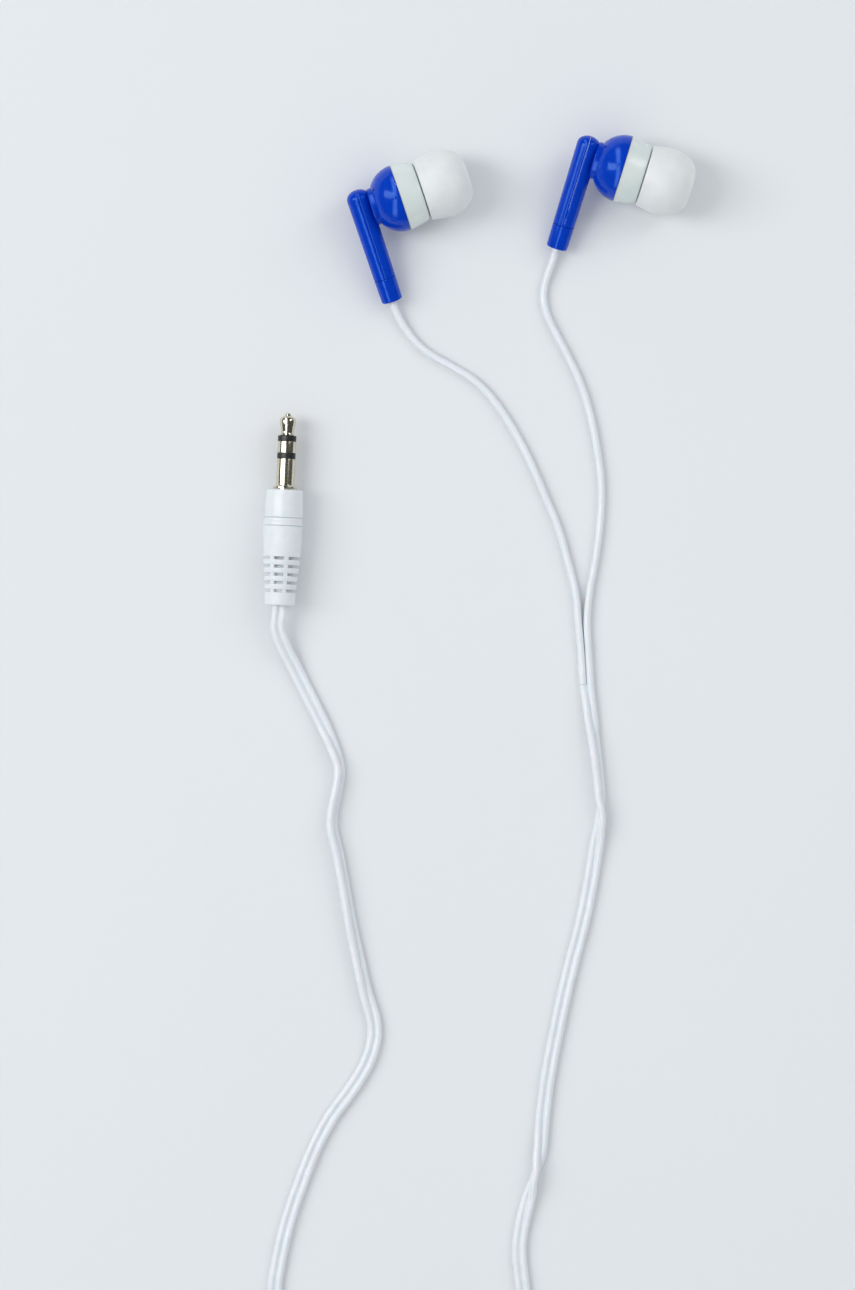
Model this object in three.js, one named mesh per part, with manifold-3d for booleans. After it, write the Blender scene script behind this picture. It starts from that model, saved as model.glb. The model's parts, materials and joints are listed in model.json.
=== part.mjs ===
// Wired in-ear earphones: two stemmed earbuds with silicone tips, a twin cord that splits in two,
// a coil of spare cord, and a straight 3.5 mm stereo plug. Millimetres, +Z up, lying on z = 0.
import * as THREE from 'three';
import { mergeVertices } from 'three/addons/utils/BufferGeometryUtils.js';
import Module from 'manifold-3d';

const wasm = await Module();
wasm.setup();

// ---------------------------------------------------------------- driving dimensions

const clearance = { nest: 0.15, seam: 0.2, run: 0.3, cord: 0.3, voice: 0.2 };
const sides = { outer: 18, inner: 12, jack: 12, small: 8, arc: 5, cap: 3 };

// Where each earbud lies: centre of its rim plane, and how far the nozzle is turned about Z.
const earbuds = [
  { side: 'left', x: -22.4, y: 3.5, turn: 18.6 },
  { side: 'right', x: 19.7, y: 8.4, turn: -17.2 },
];
// Centre of the earbuds' footprint, which becomes the origin.
const footprint = { x: 0.55, y: -0.75 };

// Rear dome: an elliptical bowl, open at the rim, stepping down to a neck that carries the stem.
const dome = { rimRadius: 6.4, axialRadius: 5.85, depth: 4.6, wall: 1.0, floor: 0.9 };
const neck = { radius: 3.6, overlap: 0.5 };
const vent = { radius: 0.5, height: 3.3, side: 2.6, depth: 3.9, meshThickness: 0.3 };

// Stem: a tapered tube across the back of the neck, parted along its length, with a collar below.
const stem = {
  axisBehindRim: 7.5,
  topRadius: 2.25,
  bottomRadius: 2.08,
  endRadius: 2.0,
  topHeight: 4.1,
  topRounding: 1.5,
  halvesLength: 13.6,
  boreRadius: 1.35,
  boreTop: 2.4,
  passageRadius: 0.9,
};
const collar = { length: 4.4, spigotLength: 1.3, spigotWall: 0.4, rounding: 0.3, seat: 1.6 };
const grommet = { wall: 0.4 };
const knot = { radius: 1.1 };
const wires = { radius: 0.3, steps: 12 };

// Front housing: a tapered cup with a snap lip at the rim and a barbed nozzle.
const front = { depth: 4.3, endRadius: 5.7, edge: 0.5, wall: 0.9, lipDepth: 0.8, lipWall: 0.3 };
const nozzle = { radius: 2.6, length: 6.2, wall: 0.8, barb: 0.15, barbLength: 0.9, barbFromEnd: 0.6 };
const mesh = { thickness: 0.25, seat: 0.35, holeRadius: 0.4, holeCircle: 1.0, holes: 4 };

// Silicone tip: an inner sleeve on the nozzle and an umbrella folded back over it.
const tip = {
  radius: 6.4,
  length: 9.0,
  skirtRadius: 5.9,
  frontRadius: 2.9,
  wall: 0.7,
  sleeveWall: 0.8,
  boreRadius: 2.0,
  arcPoints: 5,
};

// Moving-coil driver, stacked along the nozzle axis behind the front housing's shoulder.
const driver = {
  gasketWidth: 1.0,
  gasketThickness: 0.5,
  coverThickness: 0.25,
  rimWall: 0.35,
  basketWidth: 1.15,
  basketDepth: 2.7,
  basketShelf: 1.5,
  yokeWall: 0.4,
  yokeFloor: 0.5,
  magnetThickness: 1.0,
  plateThickness: 0.4,
  plateOverhang: 0.15,
  boreRadius: 0.5,
  coilWall: 0.2,
  coilLength: 1.4,
  coilAbovePlate: 0.45,
  filmThickness: 0.12,
  domeRise: 0.35,
  rollRise: 0.22,
  excursion: 0.15,
  boardThickness: 0.4,
  boardWidth: 3.0,
  boardHeight: 1.8,
};
const coverHoles = { radius: 0.6, circle: 2.4, count: 4 };

// Plug, measured from the jack's nose backwards.
const plugPlace = { x: -44.0, y: -37.4, lean: -2.6, roll: 7.0 };
const jack = {
  radius: 1.75,
  tipLength: 4.3,
  insulatorLength: 1.1,
  ringLength: 2.2,
  sleeveLength: 5.3,
  noseRadius: 1.65,
  noseAt: 1.5,
  noseEnd: 0.55,
  waistRadius: 1.2,
  waistAt: 3.6,
  coreRadius: 0.4,
  tubeWall: 0.2,
  tailLength: 3.2,
  tailStep: 0.7,
};
const flange = { radius: 2.3, thickness: 0.4 };
const shell = { radius: 3.55, length: 5.3, edge: 0.35, bodyWall: 1.0 };
const band = { radius: 3.6, length: 1.2 };
const boot = {
  frontRadius: 3.65,
  bodyLength: 5.1,
  bodyEndRadius: 3.45,
  endRadius: 2.8,
  reliefLength: 8.9,
  endRing: 1.1,
  rounding: 0.35,
  coreWall: 0.75,
  cavityLength: 4.0,
};
const slots = { rows: 5, pitch: 1.55, height: 0.5, ribWidth: 0.75, ribAngle: 66.5 };

// Cord: two round strands side by side, parted above the split.
const strandRadius = 0.7;
const tableLift = 0.05;
const cordHeight = strandRadius + tableLift;
const twinHalfWidth = 2 * strandRadius;
const sectionSides = 8;
const steps = { branch: 20, upper: 19, lower: 21 };

// Routes between the exits: x, y on the table, and the height where the cord is still above it.
const leftRoute = [
  [-21.2, -22.1], [-18.0, -25.4], [-12.9, -28.4], [-8.1, -31.5], [-4.2, -35.9], [-0.7, -41.4],
  [2.3, -47.3], [5.0, -53.6], [7.5, -59.7], [9.2, -65.9], [10.2, -70.6],
];
const rightRoute = [
  [4.5, -13.9], [4.7, -17.2], [5.9, -20.3], [8.7, -25.7], [11.4, -31.3], [13.4, -37.7],
  [14.7, -44.3], [15.5, -51.0], [15.3, -57.6], [14.5, -64.3], [13.4, -70.6],
];
const upperRoute = [
  [11.8, -71.1], [12.1, -77.0], [12.4, -82.5], [12.7, -88.9], [13.8, -97.6], [14.8, -105.2],
  [15.3, -111.0], [15.3, -114.4], [14.7, -118.6], [13.5, -126.2], [12.0, -133.8], [10.0, -141.4],
  [8.2, -149.0], [6.6, -156.7], [5.2, -164.3], [4.3, -171.9], [3.7, -178.6], [2.0, -185.2],
  [0.4, -191.9], [-0.2, -196.7], [0.5, -203.3], [0.8, -208.0], [-0.2, -215.0], [-2.0, -221.0],
  [-2.9, -227.5],
];
const lowerRoute = [
  [-46.1, -78.0, 3.1], [-44.8, -81.8, 2.0], [-43.1, -85.2, 1.1], [-41.5, -88.5], [-38.2, -95.0],
  [-35.7, -100.5], [-34.3, -104.9], [-34.7, -108.7], [-35.5, -112.2], [-35.8, -115.9], [-34.7, -120.6],
  [-33.5, -127.0], [-32.3, -133.8], [-30.7, -141.4], [-29.2, -148.1], [-27.8, -152.9],
  [-27.7, -156.3], [-28.9, -160.5], [-31.9, -165.7], [-36.0, -171.3], [-39.0, -177.0],
  [-41.5, -183.3], [-43.8, -189.9], [-45.5, -196.7], [-46.7, -204.3], [-46.7, -212.0],
  [-45.4, -218.0], [-43.7, -223.0], [-43.0, -227.5],
];

// Coil of the spare cord: flat turns wound two across and four high, held by a tie.
const coil = {
  x: -23.0,
  y: -229.0,
  midRadius: 15.5,
  columns: 2,
  layers: 4,
  turnGap: 0.05,
  edge: 0.5,
  sides: 32,
};
const tie = { width: 4.0, thickness: 0.5, corner: 0.8, turn: 150 };

// ---------------------------------------------------------------- finishes

const finishes = {
  blue: { color: 0x1446c8, roughness: 0.2, metalness: 0.0 },
  pearl: { color: 0xd6ebe4, roughness: 0.25, metalness: 0.0 },
  silicone: { color: 0xe8ebee, roughness: 0.45, metalness: 0.0 },
  white: { color: 0xeff1f3, roughness: 0.4, metalness: 0.0 },
  softWhite: { color: 0xe9ecef, roughness: 0.55, metalness: 0.0 },
  cord: { color: 0xe4e8ee, roughness: 0.45, metalness: 0.0 },
  gold: { color: 0xcfc3a6, roughness: 0.2, metalness: 1.0 },
  black: { color: 0x121316, roughness: 0.45, metalness: 0.0 },
  steel: { color: 0x9a9ea3, roughness: 0.35, metalness: 1.0 },
  magnet: { color: 0x5d6064, roughness: 0.3, metalness: 1.0 },
  copper: { color: 0xb56a3a, roughness: 0.35, metalness: 1.0 },
  film: { color: 0xd9d2b8, roughness: 0.3, metalness: 0.0 },
  foam: { color: 0x2a2b2e, roughness: 0.9, metalness: 0.0 },
  board: { color: 0x2f6b44, roughness: 0.5, metalness: 0.0 },
};

// ---------------------------------------------------------------- helpers

const radians = THREE.MathUtils.degToRad;

function piece(name, geometry, finish) {
  const mesh = new THREE.Mesh(geometry, new THREE.MeshStandardMaterial(finishes[finish]));
  mesh.name = name;
  return mesh;
}

function toSolid(geometry) {
  const bare = geometry.clone();
  bare.deleteAttribute('normal');
  bare.deleteAttribute('uv');
  const merged = mergeVertices(bare);
  const corners = Array.from(merged.index.array);
  const triVerts = [];
  for (let i = 0; i < corners.length; i += 3) {
    const [a, b, c] = corners.slice(i, i + 3);
    if (a !== b && b !== c && c !== a) {
      triVerts.push(a, b, c);
    }
  }
  const solidMesh = new wasm.Mesh({
    numProp: 3,
    vertProperties: new Float32Array(merged.attributes.position.array),
    triVerts: new Uint32Array(triVerts),
  });
  return new wasm.Manifold(solidMesh);
}

function toGeometry(solid) {
  const result = solid.getMesh();
  const geometry = new THREE.BufferGeometry();
  geometry.setAttribute('position', new THREE.BufferAttribute(result.vertProperties, 3));
  geometry.setIndex(new THREE.BufferAttribute(result.triVerts, 1));
  geometry.computeVertexNormals();
  return geometry;
}

function cut(body, ...tools) {
  return toGeometry(tools.reduce((solid, tool) => solid.subtract(toSolid(tool)), toSolid(body)));
}

function join(body, ...others) {
  return toGeometry(others.reduce((solid, other) => solid.add(toSolid(other)), toSolid(body)));
}

function common(body, tool) {
  return toGeometry(toSolid(body).intersect(toSolid(tool)));
}

// Turns an outline of [height, radius] pairs about Y. It closes on itself unless it starts and
// ends on the axis.
function revolve(outline, sideCount) {
  const points = outline.map(([height, radius]) => new THREE.Vector2(radius, height));
  if (THREE.ShapeUtils.area(points) < 0) {
    points.reverse();
  }
  const first = points[0];
  const last = points[points.length - 1];
  if (first.x > 0 || last.x > 0) {
    points.push(first.clone());
  }
  return new THREE.LatheGeometry(points, sideCount);
}

// The same about X, so that heights run forward along the nozzle.
function revolveForward(outline, sideCount) {
  return revolve(outline, sideCount).rotateZ(-Math.PI / 2);
}

function ring(start, end, inner, outer) {
  return [[start, inner], [start, outer], [end, outer], [end, inner]];
}

function disc(start, end, radius) {
  return [[start, 0], [start, radius], [end, radius], [end, 0]];
}

function box(width, depth, height, x, y, z) {
  return new THREE.BoxGeometry(width, depth, height).translate(x, y, z);
}

// A round plate of the given thickness with a ring of holes, facing forward along X.
function perforatedPlate(start, thickness, radius, hole) {
  const outline = new THREE.Shape().absarc(0, 0, radius, 0, 2 * Math.PI);
  for (let i = 0; i < hole.count; i += 1) {
    const angle = (2 * Math.PI * i) / hole.count;
    const x = hole.circle * Math.cos(angle);
    const y = hole.circle * Math.sin(angle);
    outline.holes.push(new THREE.Path().absarc(x, y, hole.radius, 0, 2 * Math.PI, true));
  }
  const plate = new THREE.ExtrudeGeometry(outline, {
    depth: thickness,
    bevelEnabled: false,
    curveSegments: sides.arc,
  });
  return plate.rotateY(Math.PI / 2).translate(start, 0, 0);
}

function polygonSection(halfHeight, halfWidth) {
  const shape = new THREE.Shape();
  for (let i = 0; i < sectionSides; i += 1) {
    const angle = (2 * Math.PI * (i + 0.5)) / sectionSides;
    const x = halfHeight * Math.cos(angle);
    const y = halfWidth * Math.sin(angle);
    if (i === 0) {
      shape.moveTo(x, y);
    } else {
      shape.lineTo(x, y);
    }
  }
  shape.closePath();
  return shape;
}

function sweep(section, points, stepCount) {
  const extrudePath = new THREE.CatmullRomCurve3(points, false, 'centripetal');
  return new THREE.ExtrudeGeometry(section, { steps: stepCount, bevelEnabled: false, extrudePath });
}

// ---------------------------------------------------------------- earbud places worked out

const rimInner = dome.rimRadius - dome.wall;
const lipOuter = rimInner - clearance.nest;
const lipInner = lipOuter - front.lipWall;
const domeBack = -dome.depth;
const neckBack = -(stem.axisBehindRim - stem.topRadius + neck.overlap);
const stemEnd = -(stem.halvesLength + clearance.seam + collar.length);
const nozzleEnd = front.depth + nozzle.length;
const nozzleBore = nozzle.radius - nozzle.wall;
const tipStart = front.depth + clearance.run;
const tipEnd = tipStart + tip.length;

// Stack of the driver, from the front housing's shoulder back.
const shoulder = front.depth - front.wall;
const gasketFront = shoulder - clearance.nest;
const coverFront = gasketFront - driver.gasketThickness - clearance.nest;
const basketFront = coverFront - driver.coverThickness - clearance.nest;
const basketBack = basketFront - driver.basketDepth;
const shelf = basketFront - driver.basketShelf;
const driverRadius = lipInner - clearance.seam;
const basketInner = driverRadius - driver.rimWall;
const yokeRadius = driverRadius - driver.basketWidth - clearance.nest;
const yokeInner = yokeRadius - driver.yokeWall;
const plateFront = shelf - clearance.seam;
const plateBack = plateFront - driver.plateThickness;
const magnetFront = plateBack - clearance.nest;
const magnetBack = magnetFront - driver.magnetThickness;
const yokeFloorFront = magnetBack - clearance.nest;
const yokeBack = yokeFloorFront - driver.yokeFloor;
const voiceOuter = yokeInner - clearance.voice;
const voiceInner = voiceOuter - driver.coilWall;
const plateRadius = voiceInner - clearance.voice;
const voiceFront = plateFront + driver.coilAbovePlate;
const filmBack = voiceFront + clearance.nest;
const filmRadius = basketInner - clearance.voice;
const boardFront = yokeBack - clearance.nest;
const boardBack = boardFront - driver.boardThickness;

// The stem leans until its end rests on the table while the rim does: the height of the nozzle
// axis is the larger radius that touches.
const restHeight = Math.max(dome.rimRadius, tip.radius);
const stemLean =
  Math.asin(restHeight / Math.hypot(stemEnd, stem.endRadius)) - Math.atan2(stem.endRadius, -stemEnd);

// ---------------------------------------------------------------- rear half of an earbud

// The bowl's line from the rim back, starting as a straight mouth ahead of the rim.
function domeOutline(inset, depth, mouth) {
  const points = [];
  for (let i = 0; i <= sides.arc; i += 1) {
    const x = (-depth * i) / sides.arc;
    const slope = Math.sqrt(1 - (x / dome.axialRadius) ** 2);
    points.push([x, dome.rimRadius * slope - inset]);
  }
  return [[mouth, 0], [mouth, points[0][1]], ...points, [-depth, 0]];
}

function stemProfile() {
  const points = [[stem.topHeight, 0]];
  const round = stem.topHeight - stem.topRounding;
  for (let i = 1; i <= sides.cap; i += 1) {
    const angle = (Math.PI / 2) * (i / sides.cap);
    points.push([round + stem.topRounding * Math.cos(angle), stem.topRadius * Math.sin(angle)]);
  }
  return [...points, [-stem.halvesLength, stem.bottomRadius], [-stem.halvesLength, 0]];
}

function stemBore() {
  const below = stem.halvesLength + clearance.run;
  return revolve(disc(-below, stem.boreTop, stem.boreRadius), sides.inner);
}

function halfSpace(direction) {
  const size = 2 * (stem.halvesLength + stem.topHeight);
  const offset = direction * (size / 2 + clearance.seam / 2);
  return box(size, 2 * size, size, offset, 0, 0);
}

function ventHole() {
  const hole = new THREE.CylinderGeometry(vent.radius, vent.radius, 2 * dome.wall + dome.floor, sides.small);
  return hole.rotateZ(Math.PI / 2).translate(-vent.depth, vent.height, vent.side);
}

function rearShell() {
  const bowl = revolveForward(domeOutline(0, dome.depth, 0), sides.outer);
  const cavityDepth = dome.depth - dome.floor;
  const cavity = revolveForward(domeOutline(dome.wall, cavityDepth, clearance.run), sides.outer);
  const neckDisc = revolveForward(disc(neckBack, domeBack + dome.floor / 2, neck.radius), sides.outer);
  const stemSolid = revolve(stemProfile(), sides.inner).translate(-stem.axisBehindRim, 0, 0);
  const frontSide = halfSpace(1).translate(-stem.axisBehindRim, 0, 0);
  const bore = stemBore().translate(-stem.axisBehindRim, 0, 0);
  const passage = revolveForward(disc(-stem.axisBehindRim, 0, stem.passageRadius), sides.small);
  const body = join(bowl, neckDisc, common(stemSolid, frontSide));
  return cut(body, cavity, bore, passage, ventHole());
}

function stemCover() {
  const cover = common(revolve(stemProfile(), sides.inner), halfSpace(-1));
  return cut(cover, stemBore()).translate(-stem.axisBehindRim, 0, 0);
}

function stemCollar() {
  const top = -stem.halvesLength - clearance.seam;
  const spigotTop = top + collar.spigotLength;
  const spigotOuter = stem.boreRadius - clearance.nest;
  const spigotInner = spigotOuter - collar.spigotWall;
  const seatRadius = grommet.wall + strandRadius + 2 * clearance.nest;
  const outline = [
    [spigotTop, spigotInner],
    [spigotTop, spigotOuter],
    [top, spigotOuter],
    [top, stem.bottomRadius],
    [stemEnd + collar.rounding, stem.endRadius],
    [stemEnd, stem.endRadius - collar.rounding],
    [stemEnd, seatRadius],
    [stemEnd + collar.seat, seatRadius],
    [stemEnd + collar.seat, spigotInner],
  ];
  return revolve(outline, sides.outer).translate(-stem.axisBehindRim, 0, 0);
}

function cordGrommet() {
  const inner = strandRadius + clearance.nest;
  const outer = inner + grommet.wall - clearance.nest;
  const top = stemEnd + collar.seat - clearance.nest;
  return revolve(ring(stemEnd, top, inner, outer), sides.inner).translate(-stem.axisBehindRim, 0, 0);
}

function knotHeight() {
  const spigotTop = -stem.halvesLength - clearance.seam + collar.spigotLength;
  return spigotTop + clearance.nest + knot.radius;
}

function cordKnot() {
  const ball = new THREE.SphereGeometry(knot.radius, sides.small, sides.small / 2);
  return ball.translate(-stem.axisBehindRim, knotHeight(), 0);
}

function innerWires() {
  const start = knotHeight() + knot.radius + clearance.run;
  const bend = stem.boreRadius;
  const end = boardBack - clearance.run;
  const points = [
    new THREE.Vector3(-stem.axisBehindRim, start, 0),
    new THREE.Vector3(-stem.axisBehindRim, -2 * bend, 0),
    new THREE.Vector3(-stem.axisBehindRim + bend / 2, -bend / 4, 0),
    new THREE.Vector3(-stem.axisBehindRim + 2 * bend, 0, 0),
    new THREE.Vector3(end, 0, 0),
  ];
  return sweep(polygonSection(wires.radius, wires.radius), points, wires.steps);
}

function ventMesh() {
  const radius = vent.radius - clearance.nest;
  const plate = revolveForward(disc(-vent.depth, vent.meshThickness - vent.depth, radius), sides.small);
  return plate.translate(0, vent.height, vent.side);
}

// ---------------------------------------------------------------- front half of an earbud

function frontHousing() {
  const rim = clearance.seam;
  const meshSeat = nozzleEnd - mesh.thickness - mesh.seat;
  const meshSeatRadius = nozzleBore + mesh.seat / 2;
  const barbStart = nozzleEnd - nozzle.barbFromEnd - nozzle.barbLength;
  const barbTop = barbStart + nozzle.barbLength / 4;
  const mouth = driverRadius - driver.gasketWidth;
  const outline = [
    [rim, dome.rimRadius],
    [front.depth - front.edge, front.endRadius],
    [front.depth, front.endRadius - front.edge],
    [front.depth, nozzle.radius],
    [barbStart, nozzle.radius],
    [barbTop, nozzle.radius + nozzle.barb],
    [barbStart + nozzle.barbLength, nozzle.radius],
    [nozzleEnd, nozzle.radius],
    [nozzleEnd, meshSeatRadius],
    [meshSeat, meshSeatRadius],
    [meshSeat, nozzleBore],
    [shoulder + front.wall / 3, nozzleBore],
    [shoulder + front.wall / 3, mouth],
    [shoulder, mouth],
    [shoulder, lipInner],
    [-front.lipDepth, lipInner],
    [-front.lipDepth, lipOuter],
    [rim, lipOuter],
  ];
  return revolveForward(outline, sides.outer);
}

function nozzleMesh() {
  const radius = nozzleBore + mesh.seat / 2 - clearance.nest / 2;
  const start = nozzleEnd - mesh.seat - mesh.thickness + clearance.nest;
  const hole = { radius: mesh.holeRadius, circle: mesh.holeCircle, count: mesh.holes };
  return perforatedPlate(start, mesh.thickness, radius, hole);
}

// The umbrella's outer line: the front half narrows to the front, the back half to the skirt.
function umbrella(inset) {
  const widest = tipStart + tip.length / 2;
  const points = [];
  for (let i = 0; i <= tip.arcPoints; i += 1) {
    const angle = (Math.PI / 2) * (i / tip.arcPoints);
    const reach = (tip.length / 2 - inset) * Math.cos(angle);
    const swell = tip.radius - inset - tip.frontRadius;
    points.push([widest + reach, tip.frontRadius + swell * Math.sin(angle)]);
  }
  return [...points, [tipStart, tip.skirtRadius - inset]];
}

function earTip() {
  const sleeveInner = nozzle.radius + nozzle.barb + clearance.nest;
  const sleeveOuter = sleeveInner + tip.sleeveWall;
  const sleeveEnd = nozzleEnd + clearance.run;
  const inside = umbrella(tip.wall).reverse().filter(([, radius]) => radius > sleeveOuter);
  const outline = [
    [sleeveEnd, tip.boreRadius],
    [tipEnd, tip.boreRadius],
    ...umbrella(0),
    ...inside,
    [inside[inside.length - 1][0], sleeveOuter],
    [tipStart, sleeveOuter],
    [tipStart, sleeveInner],
    [sleeveEnd, sleeveInner],
  ];
  return revolveForward(outline, sides.outer);
}

// ---------------------------------------------------------------- driver

function gasket() {
  const inner = driverRadius - driver.gasketWidth;
  const outline = ring(gasketFront - driver.gasketThickness, gasketFront, inner, driverRadius);
  return revolveForward(outline, sides.inner);
}

function driverCover() {
  const start = coverFront - driver.coverThickness;
  return perforatedPlate(start, driver.coverThickness, driverRadius, coverHoles);
}

function driverFrame() {
  const seat = yokeRadius + clearance.nest;
  const outline = [
    [basketBack, seat],
    [basketBack, driverRadius],
    [basketFront, driverRadius],
    [basketFront, basketInner],
    [shelf, basketInner],
    [shelf, seat],
  ];
  return revolveForward(outline, sides.inner);
}

function diaphragm() {
  const rollRadius = (voiceOuter + filmRadius) / 2;
  const line = [
    [filmBack + driver.domeRise, 0],
    [filmBack + driver.domeRise / 2, voiceInner / 2 + driver.coilWall],
    [filmBack, voiceInner],
    [filmBack, voiceOuter],
    [filmBack + driver.rollRise, rollRadius],
    [filmBack, filmRadius],
  ];
  const face = line.map(([x, radius]) => [x + driver.filmThickness, radius]).reverse();
  return revolveForward([...line, ...face], sides.inner);
}

function voiceCoil() {
  const back = voiceFront - driver.coilLength;
  return revolveForward(ring(back, voiceFront, voiceInner, voiceOuter), sides.inner);
}

function topPlate() {
  return revolveForward(ring(plateBack, plateFront, driver.boreRadius, plateRadius), sides.inner);
}

function magnetRing() {
  const radius = plateRadius - driver.plateOverhang;
  return revolveForward(ring(magnetBack, magnetFront, driver.boreRadius, radius), sides.inner);
}

function yoke() {
  const outline = [
    [yokeBack, driver.boreRadius],
    [yokeBack, yokeRadius],
    [plateFront, yokeRadius],
    [plateFront, yokeInner],
    [yokeFloorFront, yokeInner],
    [yokeFloorFront, driver.boreRadius],
  ];
  return revolveForward(outline, sides.inner);
}

function terminalBoard() {
  const x = (boardFront + boardBack) / 2;
  return box(driver.boardThickness, driver.boardHeight, driver.boardWidth, x, 0, 0);
}

// ---------------------------------------------------------------- earbud

const earbudPieces = [
  ['rear_shell', rearShell, 'blue'],
  ['stem_cover', stemCover, 'blue'],
  ['stem_collar', stemCollar, 'blue'],
  ['cord_grommet', cordGrommet, 'softWhite'],
  ['cord_knot', cordKnot, 'cord'],
  ['inner_wires', innerWires, 'copper'],
  ['vent_mesh', ventMesh, 'foam'],
  ['front_housing', frontHousing, 'pearl'],
  ['nozzle_mesh', nozzleMesh, 'steel'],
  ['ear_tip', earTip, 'silicone'],
  ['front_gasket', gasket, 'foam'],
  ['driver_cover', driverCover, 'steel'],
  ['driver_frame', driverFrame, 'white'],
  ['diaphragm', diaphragm, 'film'],
  ['voice_coil', voiceCoil, 'copper'],
  ['top_plate', topPlate, 'steel'],
  ['magnet', magnetRing, 'magnet'],
  ['yoke', yoke, 'steel'],
  ['terminal_board', terminalBoard, 'board'],
];

function earbudTurn(turn) {
  const lean = new THREE.Matrix4().makeRotationX(stemLean);
  return new THREE.Matrix4().makeRotationZ(radians(turn)).multiply(lean);
}

function earbud({ side, x, y, turn }) {
  const group = new THREE.Group();
  for (const [name, make, finish] of earbudPieces) {
    group.add(piece(`${side}_${name}`, make(), finish));
  }
  group.position.set(x, y, restHeight);
  group.quaternion.setFromRotationMatrix(earbudTurn(turn));
  return group;
}

// Where a strand leaves the collar, a little outside it, and where it next points.
function strandLead({ x, y, turn }) {
  const leads = [clearance.cord, 3 * strandRadius];
  return leads.map((reach) => {
    const place = new THREE.Vector3(-stem.axisBehindRim, stemEnd - reach, 0);
    return place.applyMatrix4(earbudTurn(turn)).add(new THREE.Vector3(x, y, restHeight));
  });
}

// ---------------------------------------------------------------- plug
//
// The plug is turned about Y, nose forward: heights here run back from the nose.

const insulatorFront = jack.tipLength + clearance.nest / 2;
const ringFront = jack.tipLength + jack.insulatorLength;
const ringBack = ringFront + jack.ringLength;
const sleeveFront = ringBack + jack.insulatorLength;
const flangeFront = sleeveFront + jack.sleeveLength;
const flangeBack = flangeFront + flange.thickness;
const shellFront = flangeBack + clearance.nest;
const shellBack = shellFront + shell.length;
const bandFront = shellBack + clearance.seam;
const bandBack = bandFront + band.length;
const bootFront = bandBack + clearance.seam;
const bodyBack = bootFront + boot.bodyLength;
const reliefBack = bodyBack + boot.reliefLength;
const plugEnd = reliefBack + boot.endRing;
const restRadius = Math.max(shell.radius, band.radius, boot.frontRadius);

// Contacts are nested tubes, each a wall and a clearance outside the last.
function contactBore(level) {
  return jack.coreRadius + clearance.nest + level * (jack.tubeWall + clearance.nest);
}

function contactTail(level) {
  return flangeBack + jack.tailLength - level * jack.tailStep;
}

function jackTip() {
  const outline = [
    [0, 0],
    [0, jack.noseEnd],
    [jack.noseAt / 3, (jack.noseEnd + jack.noseRadius) / 2 + clearance.nest],
    [jack.noseAt, jack.noseRadius],
    [jack.waistAt, jack.waistRadius],
    [jack.tipLength, jack.radius - clearance.seam],
    [jack.tipLength, jack.coreRadius],
    [contactTail(0), jack.coreRadius],
    [contactTail(0), 0],
  ];
  return revolve(outline, sides.jack);
}

// One contact or insulator: a face ring the full width of the jack, with a thin tube behind it.
function jackLayer(level, start, end) {
  const bore = contactBore(level);
  const tube = bore + jack.tubeWall;
  const tail = contactTail(level + 1);
  const outline = [
    [start, bore],
    [start, jack.radius],
    [end, jack.radius],
    [end, tube],
    [tail, tube],
    [tail, bore],
  ];
  return revolve(outline, sides.jack);
}

function jackSleeve() {
  const bore = contactBore(3) + jack.tubeWall / 2;
  const barrel = jack.radius - clearance.seam;
  const tail = contactTail(4);
  const outline = [
    [sleeveFront, bore],
    [sleeveFront, jack.radius],
    [flangeFront, jack.radius],
    [flangeFront, flange.radius],
    [flangeBack, flange.radius],
    [flangeBack, barrel],
    [tail, barrel],
    [tail, bore],
  ];
  return revolve(outline, sides.jack);
}

function jackInsulatorFront() {
  return jackLayer(0, insulatorFront, ringFront - clearance.nest / 2);
}

function jackRing() {
  return jackLayer(1, ringFront, ringBack);
}

function jackInsulatorRear() {
  return jackLayer(2, ringBack + clearance.nest / 2, sleeveFront - clearance.nest / 2);
}

function plugShell() {
  const bore = jack.radius + clearance.nest - clearance.seam;
  const frontWall = shellFront + shell.bodyWall;
  const cavity = shell.radius - shell.bodyWall;
  const outline = [
    [shellFront, bore],
    [shellFront, shell.radius - shell.edge],
    [shellFront + shell.edge, shell.radius],
    [shellBack, shell.radius],
    [shellBack, cavity],
    [frontWall, cavity],
    [frontWall, bore],
  ];
  return revolve(outline, sides.outer);
}

function plugBand() {
  const inner = shell.radius - shell.bodyWall;
  return revolve(ring(bandFront, bandBack, inner, band.radius), sides.outer);
}

function slotTool(row) {
  const core = twinHalfWidth + clearance.nest + boot.coreWall;
  const start = bodyBack + slots.pitch / 2 + row * slots.pitch;
  const washer = revolve(ring(start, start + slots.height, core, 2 * boot.frontRadius), sides.outer);
  const span = 4 * boot.frontRadius;
  const rib = box(span, span, slots.ribWidth, 0, start, 0);
  const ribs = [1, -1].map((way) => rib.clone().rotateY(radians(way * slots.ribAngle)));
  return cut(washer, ...ribs);
}

function plugBoot() {
  const bore = twinHalfWidth + clearance.nest;
  const cavity = shell.radius - shell.bodyWall;
  const cavityBack = bootFront + boot.cavityLength;
  const outline = [
    [bootFront, cavity],
    [bootFront, boot.frontRadius],
    [bodyBack, boot.bodyEndRadius],
    [reliefBack, boot.endRadius],
    [plugEnd - boot.rounding, boot.endRadius],
    [plugEnd, boot.endRadius - boot.rounding],
    [plugEnd, bore],
    [cavityBack, bore],
    [cavityBack, cavity],
  ];
  const rows = Array.from({ length: slots.rows }, (unused, row) => slotTool(row));
  return cut(revolve(outline, sides.outer), ...rows);
}

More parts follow.
